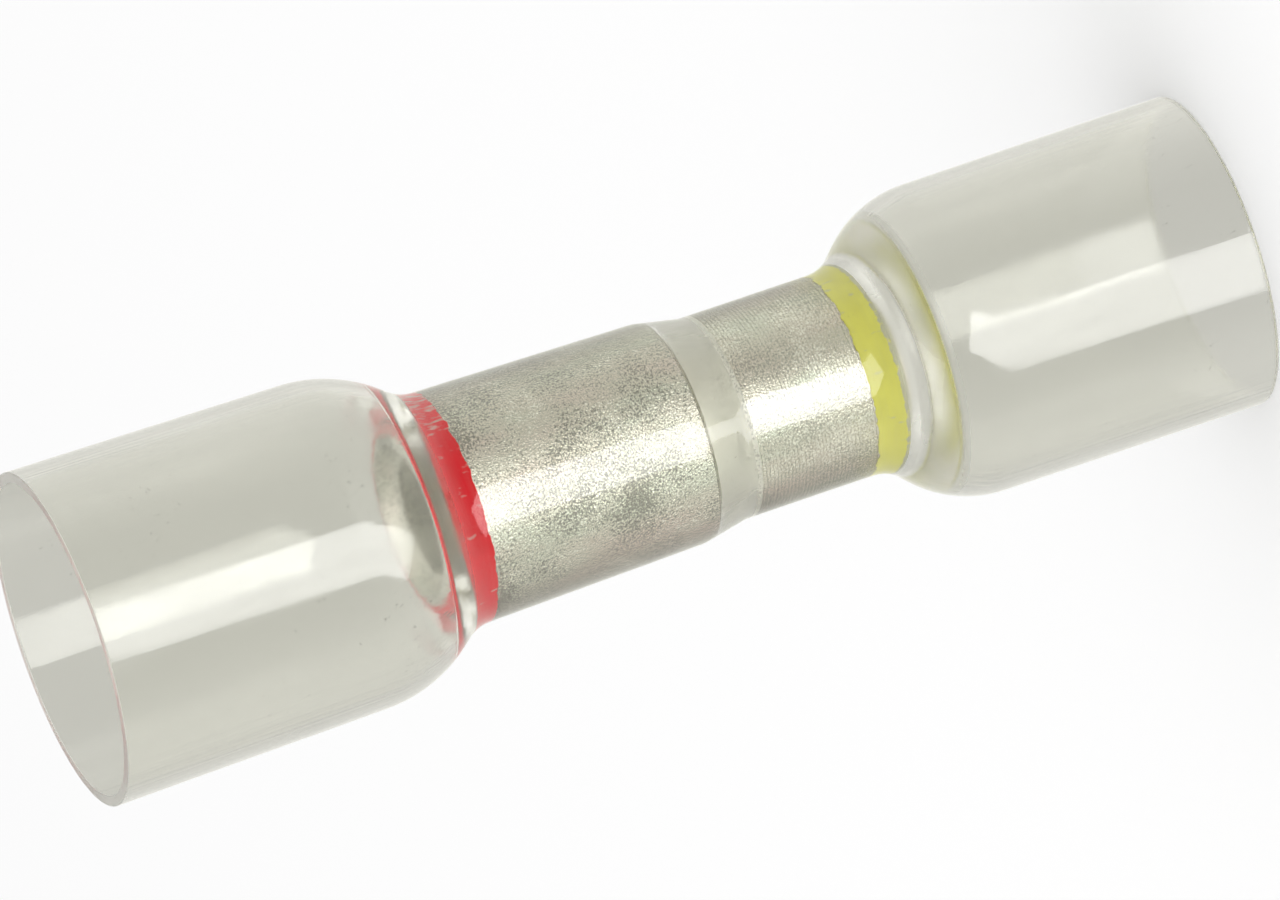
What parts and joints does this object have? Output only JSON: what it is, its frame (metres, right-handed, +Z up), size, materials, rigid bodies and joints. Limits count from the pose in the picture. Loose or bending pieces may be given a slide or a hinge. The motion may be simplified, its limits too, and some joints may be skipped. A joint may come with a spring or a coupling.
{
  "type": "butt splice connector",
  "caption": "Clear heat-shrink sleeve with wide open ends, shrunk on a stepped tinned crimp barrel that joins a large wire to a smaller one; a red and a yellow ring mark the ends.",
  "frame": {"origin": "centre of the yellow (small) mouth's rim, on the surface that the part stands on", "axes": "+Z up along the common axis of the barrel and sleeve, from the yellow mouth to the red mouth; the part is round, so +X and +Y are free"},
  "size_m": [0.0116, 0.0116, 0.042],
  "materials": {
    "clear_sleeve": "clear, slightly milky heat-shrink tube, smooth outside",
    "tinned_metal": "satin tin plating with fine turning marks",
    "red_ink": "brushed-on marking ink",
    "yellow_ink": "brushed-on marking ink"
  },
  "bodies": {
    "root": {"heat_shrink_sleeve": "clear_sleeve", "crimp_barrel": "tinned_metal", "red_ring": "red_ink", "yellow_ring": "yellow_ink"}
  },
  "joints": []
}
